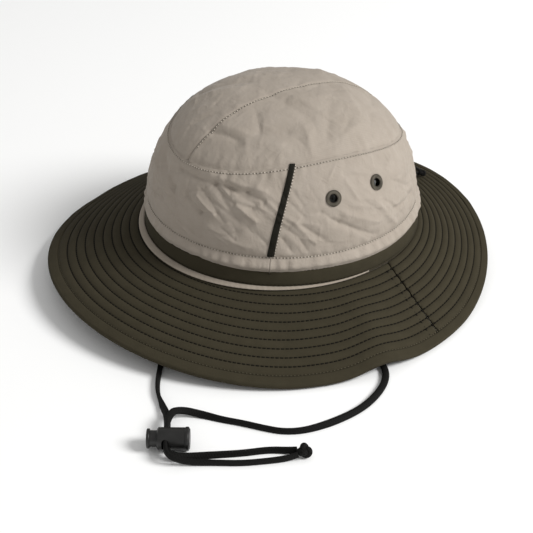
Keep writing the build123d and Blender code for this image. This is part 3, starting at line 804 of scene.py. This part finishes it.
class HAT_OT_brim(bpy.types.Operator):
    """Quilt the brim: top and under cloth, stiffener, rolled edge and ten rows of stitching"""
    bl_idname = "hat.brim"
    bl_label = "Brim"

    def cloth(self, name, start, end, side):
        """One cloth of the brim between two side seams."""
        fine = side > 0
        angles = np.linspace(start + 0.22, end - 0.22, int((end - start) / (0.62 if fine else 1.0)))
        rows = np.sort(np.concatenate([row_shares(), BRIM_ENDS]))
        steps = (12 if fine else 8) * (len(rows) - 1) + 1
        share = np.interp(np.linspace(0, len(rows) - 1, steps), np.arange(len(rows)), rows)
        grid_angle, grid_share = np.meshgrid(angles, share, indexing="ij")
        seam = np.minimum(grid_angle - start, end - grid_angle) * math.pi / 180 * 120
        pinch = 0.8 * np.exp(-(seam / 1.1) ** 2)
        pucker = 0.05 * np.sin(np.radians(grid_angle) * 229) * np.abs(np.sin(grid_share * 33))
        height = side * (1.25 + quilt_height(grid_share) - pinch + pucker)
        outer = brim_point(grid_angle, grid_share, height)
        grid_angle, grid_share = np.meshgrid(angles, np.linspace(*BRIM_ENDS, 13), indexing="ij")
        inner = brim_point(grid_angle, grid_share, np.full(grid_share.shape, side * 0.6))
        sew(name, outer, inner, "brim", "brim_cloth")

    def execute(self, context):
        seam = SIDE_SEAM_AT
        for word, side in (("top", 1), ("under", -1)):
            self.cloth(f"brim_{word}_front", -seam, seam, side)
            self.cloth(f"brim_{word}_rear", seam, 360 - seam, side)
        angles = np.linspace(0, 360, 361)[:-1]
        share = np.linspace(0.0, 0.98, 8)
        grid_angle, grid_share = np.meshgrid(angles, share, indexing="ij")
        outer, inner = (brim_point(grid_angle, grid_share, np.full(grid_share.shape, height))
                        for height in (0.45, -0.45))
        sew("brim_stiffener", outer, inner, "felt", "stiffener", True)

        pitch = context.scene.hat_shape.stitch_pitch / MM
        closed = np.linspace(0, 360, 1441)
        for word, side in (("top", 1), ("under", -1)):
            lines = [brim_line(closed, row, side) for row in row_shares()[1:]]
            for turn in (seam - 3.0, -seam + 3.0):
                shares = np.linspace(0.02, 0.9, 60)
                path = brim_point(np.full(60, turn), shares, np.full(60, side * 1.9))
                out = brim_point(np.full(60, turn), shares, np.full(60, side * 2.9)) - path
                lines.append((path, unit(out)))
            stitch(f"brim_{word}_stitching", lines, pitch, 1.6, 0.9, "olive_thread")
        edge = row_shares()[0]
        lines = [brim_line(closed, edge - 0.004, 1), brim_line(closed, edge - 0.026, 1)]
        stitch("brim_edge_stitching", lines, 2.3, 0.8, 0.8, "edge_thread")
        self.edge_binding()
        return {"FINISHED"}

    def edge_binding(self):
        """Cloth rolled round the edge: a flat loop with a half-round nose, swept round the brim."""
        angles = np.linspace(180.1, 539.9, 721)
        nose = np.linspace(np.pi / 2, -np.pi / 2, 15)
        wing = np.linspace(6.3, 1.4, 9)
        back = np.concatenate([wing, 1.0 - 1.9 * np.cos(nose), wing[::-1]])
        puff = 1.95 + 0.28 * np.sin(np.pi * (6.3 - wing) / 7.5)
        high = np.concatenate([puff, 2.25 * np.sin(nose), -puff[::-1]])
        inner_back = np.concatenate([wing, 1.2 - 1.2 * np.cos(nose), wing[::-1]])[::-1]
        inner_high = np.concatenate([np.full(9, 1.75), 1.72 * np.sin(nose), np.full(9, -1.75)])[::-1]
        back, high = np.concatenate([back, inner_back]), np.concatenate([high, inner_high])
        grid_angle = np.broadcast_to(angles[:, None], (len(angles), len(back)))
        wobble = 0.12 * smooth_noise(angles, 51, 9, 9, 60)[:, None] * np.sign(high)[None]
        share = 1 - np.broadcast_to(back, grid_angle.shape) / BRIM_WIDE
        loops = brim_point(grid_angle, share, high[None] + wobble * (np.abs(high) > 1.8))
        loops[..., 2] = np.maximum(loops[..., 2], 0.02)
        put_mesh("brim_edge_binding", loops, loop_solid(loops), CLOTHS["brim"], arc_uv(loops),
                 replaces=("brim_edge_binding",))


class HAT_OT_inside(bpy.types.Operator):
    """Sew the inside: sweatband, label, seam tapes and the binding of the brim seam"""
    bl_idname = "hat.inside"
    bl_label = "Inside"

    def ring(self, name, radius, z_low, z_high, thick, finish, slot, start=0, end=360, puff=0.3):
        """A band round the inside with softly rounded edges."""
        whole = end - start >= 360
        count = int((end - start) * 2) + 1
        angles = np.linspace(start, end, count)[:-1] if whole else np.linspace(start, end, count)
        share = np.linspace(0, 1, 16)[None]
        radius = radius + 0.15 * smooth_noise(angles, 61, 7, 4, 20)[:, None]
        z = z_low + (z_high - z_low) * share
        face = radius - puff * np.sin(np.pi * share) ** 0.5 + puff
        sew(name, ring_point(angles[:, None], face, z), ring_point(angles[:, None], face + thick, z),
            finish, slot, whole)

    def tape(self, name, path_fn):
        """A tape from a function of (along, across) that gives the crown's inner points."""
        along, across = np.meshgrid(np.linspace(0, 1, 140), np.linspace(-1, 1, 9), indexing="ij")
        sew(name, *(path_fn(along, across, depth) for depth in TAPE_FACES), "tape", "seam_tape")

    def execute(self, context):
        self.ring("sweatband", 87.9, SWEAT_LOW, SWEAT_HIGH, 1.1, "sweat", "sweatband_cloth")
        self.ring("size_label", 87.2, BASE + 6, BASE + 18, 0.35, "label", "label_cloth", 172, 188, 0.1)
        self.ring("brim_seam_binding", 90.3, BASE - 3.5, BASE - 0.6, 2.5, "tape", "seam_tape")
        for name, turn in (("left", 60), ("right", 300), ("rear", 180)):
            self.tape(f"side_seam_tape_{name}", lambda a, c, d, t=turn: side_point(
                t + c * 2.6, 32.5 + a * (seam_height(t) - BASE - 39), d))
        self.tape("crown_top_tape", lambda a, c, d: top_point(
            TOP_SEAM_X + c * 5, -66 + a * 130, d))
        angles = np.linspace(0, 360, 361)[:-1]
        low = np.linspace(-5.2, -0.4, 6)
        grid_angle = np.broadcast_to(angles[:, None], (len(angles), len(low)))
        above = seam_height(grid_angle) - BASE + low[None]
        sew("crown_ring_tape", *(side_point(grid_angle, above, depth) for depth in TAPE_FACES), "tape",
            "seam_tape", True)
        lines = []
        closed = np.linspace(0, 360, 721)
        for height in (SWEAT_LOW + 2.5, SWEAT_HIGH - 2):
            path = ring_point(closed, 87.8, height)
            lines.append((path, unit([0, CROWN_Y, height] - path)))
        stitch("sweatband_stitching", lines, 2.6, 0.9, 0.8, "edge_thread")
        return {"FINISHED"}


# ------------------------------------------------------------------ cords
LOCK_AT = np.array([143.0, -160.6, 7.05])
LOCK_TURN = math.radians(57.5)
LOCK_OUT = np.array([math.sin(LOCK_TURN), -math.cos(LOCK_TURN), 0])
STRAND = np.array([0, 0, 1.8])
BEHIND = LOCK_AT - LOCK_OUT * 21
CHIN_LEFT = [
    (89.5, 10.9, 20.3), (89.8, 10.2, 13), (94.5, 8, 5.8), (104, 3, 1.9), (121, -3, 1.8),
    (140, -5.5, 1.8), (155.5, -10, 1.8), (167, -22.5, 1.8), (175.5, -42.5, 1.8),
    (177, -64, 1.8), (175, -83, 1.8), (169, -96, 1.8), (159, -105, 1.8), (149.5, -112.5, 1.8),
    (140, -121.5, 1.8), (129.5, -129.5, 1.9), (122.3, -139, 4.6), tuple(BEHIND + STRAND),
    tuple(LOCK_AT + LOCK_OUT * 12 + STRAND), (158.4, -165.4, 6.4), (163, -156.8, 2.4),
    (170.3, -144.2, 1.8), (178.7, -131.7, 1.8), (185.0, -118, 1.8), (190.0, -106.5, 2.4),
    (191.4, -101.0, 3.6),
]
CHIN_RIGHT = [
    (-89.5, 10.9, 20.3), (-89.2, 10.2, 13), (-84, 6.5, 5.6), (-74, -0.5, 1.9),
    (-57, -12.5, 1.8), (-34, -32.5, 1.8), (-9, -57, 1.8), (18, -82, 1.8), (47, -107, 1.8),
    (75, -128.5, 1.8), (94, -141, 1.8), (109, -145.5, 2.2), tuple(BEHIND - STRAND),
    tuple(LOCK_AT + LOCK_OUT * 9.4 - STRAND), (155.6, -161.6, 3.8), (158.6, -154.2, 2.0),
    (165.1, -140.0, 1.8), (172.0, -126.4, 1.8), (177.4, -112.0, 1.8), (184.6, -102.6, 2.4),
    (187.8, -99.4, 3.6),
]
REAR_AT = np.array([0, 119.0, BASE + 5.0])


def rear_route(side):
    """Rear drawcord: round the channel, out of the eyelet, through the lock and down to the knot."""
    lift = 1.8 * 0.78 * side
    route = [tuple(ring_point(180 - side * 58, 90.8, REAR_AT[2] + lift))]
    route += [tuple(ring_point(180 - side * a, 91.3, REAR_AT[2] + lift)) for a in (44, 31, 19, 8)]
    route += [(0, CROWN_Y + OVAL * 91.3, REAR_AT[2] + lift),
              (0, REAR_AT[1] + 9.5 + 0.45 * lift, REAR_AT[2] + lift),
              (0, 134.6 + 0.75 * lift, 32.1 + 0.66 * lift)]
    return route


def smooth_path(name, route):
    """Points along the NURBS curve that has the route as its control points, mm."""
    curve = bpy.data.curves.new(name, "CURVE")
    curve.dimensions = "3D"
    curve.resolution_u = 16
    spline = curve.splines.new("NURBS")
    spline.points.add(len(route) - 1)
    spline.points.foreach_set("co", np.column_stack([np.array(route) * MM, np.ones(len(route))]).ravel())
    spline.order_u = 3
    spline.use_endpoint_u = True
    holder = bpy.data.objects.new(name, curve)
    mesh = bpy.data.meshes.new_from_object(holder)
    points = np.empty(len(mesh.vertices) * 3)
    mesh.vertices.foreach_get("co", points)
    bpy.data.objects.remove(holder)
    bpy.data.meshes.remove(mesh)
    return points.reshape(-1, 3) / MM


def even_points(path, step):
    """The same line with points evenly step apart."""
    steps = np.concatenate([[0], np.cumsum(np.linalg.norm(np.diff(path, axis=0), axis=1))])
    at = np.linspace(0, steps[-1], int(steps[-1] / step) + 1)
    return np.stack([np.interp(at, steps, path[:, c]) for c in range(3)], -1), at


def cord_mesh(name, route, wide, thick, twists):
    """Soft flat braid: an oval section carried along the curve, lying flat on the floor, narrowing and
    rolling where it twists, with the picks of the braid in its outline."""
    path, at = even_points(smooth_path(name, route), 0.55)
    tangent = unit(np.gradient(path, axis=0))
    side = np.cross(tangent, [0, 0, 1.0])
    steep = np.linalg.norm(side, axis=1)
    fixed = np.where(steep[:, None] > 0.35, unit(side), np.nan)
    for c in range(3):
        good = ~np.isnan(fixed[:, c])
        fixed[:, c] = np.interp(at, at[good], fixed[good, c])
    side = unit(fixed - tangent * (fixed * tangent).sum(-1, keepdims=True))
    up = np.cross(side, tangent)
    roll = np.zeros_like(at)
    for centre, width, turn in twists:
        roll += turn / (1 + np.exp(-(at - centre) / width * 4))
    turn = np.linspace(0, TAU, 21)[:-1]
    pick = 1 + 0.05 * np.cos(3 * turn[None] * 2 + at[:, None] * TAU / 2.6) * np.cos(
        3 * turn[None] * 2 - at[:, None] * TAU / 2.6)
    a = wide / 2 * np.sign(np.cos(turn)) * np.abs(np.cos(turn)) ** 0.85 * pick
    b = thick / 2 * np.sin(turn) * pick
    co, si = np.cos(roll)[:, None], np.sin(roll)[:, None]
    offset = (a * co - b * si)[..., None] * side[:, None] + (a * si + b * co)[..., None] * up[:, None]
    loops = path[:, None] + offset
    loops[..., 2] = np.maximum(loops[..., 2], 0.05)
    piece = put_mesh(name, loops, loop_solid(loops), CLOTHS["cord"],
                     np.stack(np.broadcast_arrays(at[:, None], turn[None] * wide / 2.6), -1) * MM,
                     replaces=(name,))
    return piece, path * MM, at[-1] * MM


def knot_mesh(name, centre, size, cord, tilt):
    """Pulled-tight overhand knot: a trefoil (sin t + 2 sin 2t, cos t - 2 cos 2t, -sin 3t) as a thick cord."""
    t = np.linspace(0, TAU, 145)[:-1]
    line = np.stack([np.sin(t) + 2 * np.sin(2 * t), np.cos(t) - 2 * np.cos(2 * t), -1.1 * np.sin(3 * t)], -1)
    line = line * (size / 2 - cord / 2) / 3.0
    tangent = unit(np.roll(line, -1, 0) - np.roll(line, 1, 0))
    side = unit(np.cross(tangent, unit(line)))
    up = np.cross(side, tangent)
    turn = np.linspace(0, TAU, 13)[:-1]
    loops = line[:, None] + cord / 2 * (np.cos(turn)[None, :, None] * side[:, None]
                                       + np.sin(turn)[None, :, None] * up[:, None])
    spin = np.array([[math.cos(tilt), 0, math.sin(tilt)], [0, 1, 0], [-math.sin(tilt), 0, math.cos(tilt)]])
    loops = loops @ spin.T + np.array(centre)
    loops[..., 2] = np.maximum(loops[..., 2], 0.1)
    return put_mesh(name, loops, loop_solid(loops, True), CLOTHS["cord"], arc_uv(loops),
                    replaces=(name,))


def tab_mesh(name, centre, size):
    """Folded webbing tab: a rounded box, each side |u|**8 + |v|**8 + |w|**8 = 1."""
    u, v = np.meshgrid(np.linspace(-np.pi / 2, np.pi / 2, 40), np.linspace(-np.pi, np.pi, 61)[:-1],
                       indexing="ij")
    def flat(x):
        return np.sign(x) * np.abs(x) ** 0.25
    points = np.stack([flat(np.cos(u)) * flat(np.cos(v)), flat(np.cos(u)) * flat(np.sin(v)),
                       flat(np.sin(u))], -1) * np.array(size) / 2 + np.array(centre)
    faces = grid_faces(40, 60, False, True)
    ends = [list(range(59, -1, -1)), list(range(39 * 60, 40 * 60))]
    mesh_faces = faces.tolist() + ends
    mesh = bpy.data.meshes.new(name)
    mesh.from_pydata(points.reshape(-1, 3) * MM, [], mesh_faces)
    face_outwards(mesh, merge=True)
    mesh.polygons.foreach_set("use_smooth", np.ones(len(mesh.polygons), bool))
    mesh.materials.append(CLOTHS["plastic"])
    piece = bpy.data.objects.new(f"{name}_sewn", mesh)
    bpy.context.scene.collection.objects.link(piece)
    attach(piece, "hat")
    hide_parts(name)


class HAT_OT_cords(bpy.types.Operator):
    """Lay the chin cord through its lock to its knot, and the rear drawcord"""
    bl_idname = "hat.cords"
    bl_label = "Cords"

    def execute(self, context):
        for sign, side in ((1, "left"), (-1, "right")):
            tab_mesh(f"chin_cord_tab_{side}", (sign * 89.5, CROWN_Y, 25.3), (2.4, 11, 8.8))
        knot = knot_mesh("chin_cord_knot", (191.4, -96.6, 4.5), 9.6, 3.9, 0.5)
        for side, route, twists in (
                ("left", CHIN_LEFT, ((95, 30, 0.5), (150, 30, 1.0), (220, 22, -0.9), (252, 16, 0.9))),
                ("right", CHIN_RIGHT, ((215, 20, 1.2), (262, 14, 1.4), (330, 22, -0.8)))):
            piece, path, length = cord_mesh(f"chin_cord_{side}", route, 4.5, 2.5, twists)
        rear_knot = knot_mesh("rear_cord_knot", (0, 138.0, 30.6), 7.0, 2.3, 0.2)
        for side, sign in (("left", 1), ("right", -1)):
            route = rear_route(sign)
            piece, path, length = cord_mesh(f"rear_cord_{side}", route, 2.35, 2.1, ())
        return {"FINISHED"}


# ------------------------------------------------------------------ stage
LAMP_PLACE, LAMP_AIM = (1.86, 1.5, 2.05), (0, 0, 0.05)
VIEW_TURN, VIEW_RISE, VIEW_ROLL = 57.5, 32.92, 0.5      # degrees
VIEW_AWAY, VIEW_RIGHT, VIEW_UP = 836, -11.15, -64.7     # camera from the crown's middle, mm
LENS, SENSOR = 80.70417, 36                             # mm


class HAT_OT_stage(bpy.types.Operator):
    """Set the pale floor, the soft light and the camera"""
    bl_idname = "hat.stage"
    bl_label = "Stage"

    def execute(self, context):
        scene = context.scene
        mesh = bpy.data.meshes.new("floor")
        mesh.from_pydata([(-4, -4, 0), (4, -4, 0), (4, 4, 0), (-4, 4, 0)], [], [(0, 1, 2, 3)])
        material, tree, output = new_material("matt_white_paper")
        shader = add_node(tree, "ShaderNodeBsdfPrincipled", in_Base_Color=linear("FCFCFB"),
                          in_Roughness=0.9)
        tree.links.new(shader.outputs[0], output.inputs["Surface"])
        mesh.materials.append(material)
        floor = bpy.data.objects.new("floor", mesh)
        scene.collection.objects.link(floor)
        world = bpy.data.worlds.new("studio")
        world.use_nodes = True
        world.node_tree.nodes["Background"].inputs["Color"].default_value = (1, 1, 1, 1)
        world.node_tree.nodes["Background"].inputs["Strength"].default_value = 0.5
        scene.world = world
        lamp = bpy.data.objects.new("key", bpy.data.lights.new("key", "AREA"))
        lamp.data.shape = "DISK"
        lamp.data.size, lamp.data.energy = 1.3, 92
        lamp.location = LAMP_PLACE
        towards = unit(np.array(LAMP_AIM) - np.array(LAMP_PLACE))
        lamp.rotation_euler = Vector(towards).to_track_quat("-Z", "Y").to_euler()
        scene.collection.objects.link(lamp)
        scene.view_settings.view_transform = "Standard"

        azimuth, rise, roll = map(math.radians, (VIEW_TURN, VIEW_RISE, VIEW_ROLL))
        back = np.array([math.sin(azimuth) * math.cos(rise), -math.cos(azimuth) * math.cos(rise),
                         math.sin(rise)])
        across = np.array([math.cos(azimuth), math.sin(azimuth), 0])
        up = np.cross(back, across)
        right = across * math.cos(roll) + up * math.sin(roll)
        up = up * math.cos(roll) - across * math.sin(roll)
        middle = np.array([0, CROWN_Y, BASE + 31.35])
        place = middle + back * VIEW_AWAY + right * VIEW_RIGHT + up * VIEW_UP
        camera = bpy.data.objects.new("camera", bpy.data.cameras.new("camera"))
        camera.data.sensor_width = SENSOR
        camera.data.lens = LENS
        camera.location = place * MM
        camera.rotation_euler = Matrix(np.column_stack([right, up, back]).tolist()).to_euler()
        scene.collection.objects.link(camera)
        scene.camera = camera
        return {"FINISHED"}


class HAT_PT_panel(bpy.types.Panel):
    """Lists the hat's sizes and the steps that sew it"""
    bl_label = "Boonie Hat"
    bl_idname = "HAT_PT_panel"
    bl_space_type = "VIEW_3D"
    bl_region_type = "UI"
    bl_category = "Hat"

    def draw(self, context):
        for settings in (context.scene.hat_shape, context.scene.hat_colours):
            for key in settings.__annotations__:
                self.layout.prop(settings, key)
        for step in STEPS:
            self.layout.operator(step.bl_idname)


STEPS = (HAT_OT_finishes, HAT_OT_side_band, HAT_OT_top, HAT_OT_crown_stitching, HAT_OT_trims,
         HAT_OT_foot, HAT_OT_brim, HAT_OT_inside, HAT_OT_cords, HAT_OT_stage)
CLASSES = (HatShape, HatColours) + STEPS + (HAT_PT_panel,)


def register():
    """Register the classes and hang the settings on the scene."""
    for cls in CLASSES:
        bpy.utils.register_class(cls)
    bpy.types.Scene.hat_shape = bpy.props.PointerProperty(type=HatShape)
    bpy.types.Scene.hat_colours = bpy.props.PointerProperty(type=HatColours)


def unregister():
    """Take the settings and classes away again."""
    del bpy.types.Scene.hat_shape
    del bpy.types.Scene.hat_colours
    for cls in reversed(CLASSES):
        bpy.utils.unregister_class(cls)


def main():
    """Sew the hat in order."""
    register()
    for step in STEPS:
        family, name = step.bl_idname.split(".")
        getattr(getattr(bpy.ops, family), name)()
    bpy.context.view_layer.update()


if __name__ == "__main__":
    main()
